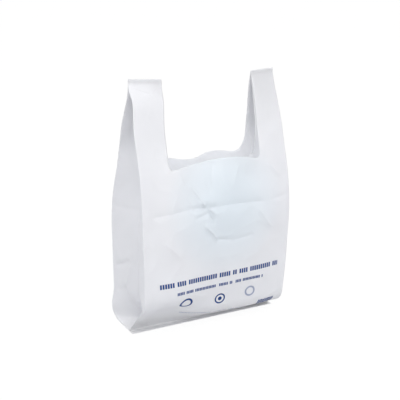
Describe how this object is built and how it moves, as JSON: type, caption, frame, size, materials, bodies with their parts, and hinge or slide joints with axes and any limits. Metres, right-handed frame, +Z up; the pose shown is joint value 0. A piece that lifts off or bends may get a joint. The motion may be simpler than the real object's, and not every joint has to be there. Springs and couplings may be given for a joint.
{
  "type": "plastic carrier bag",
  "caption": "Thin white film carrier bag of the vest type, standing open, with tucked side gussets, a welded bottom and two loop handles.",
  "frame": {"origin": "on the floor, under the middle of the whole bag", "axes": "+X along the bag's width towards the handle on the right of the printed front, +Y from the front panel to the back panel, +Z up"},
  "size_m": [0.2654, 0.1244, 0.409],
  "materials": {
    "film": "smooth milky film with a soft sheen"
  },
  "bodies": {
    "root": {"carrier_bag": "film"}
  },
  "joints": []
}
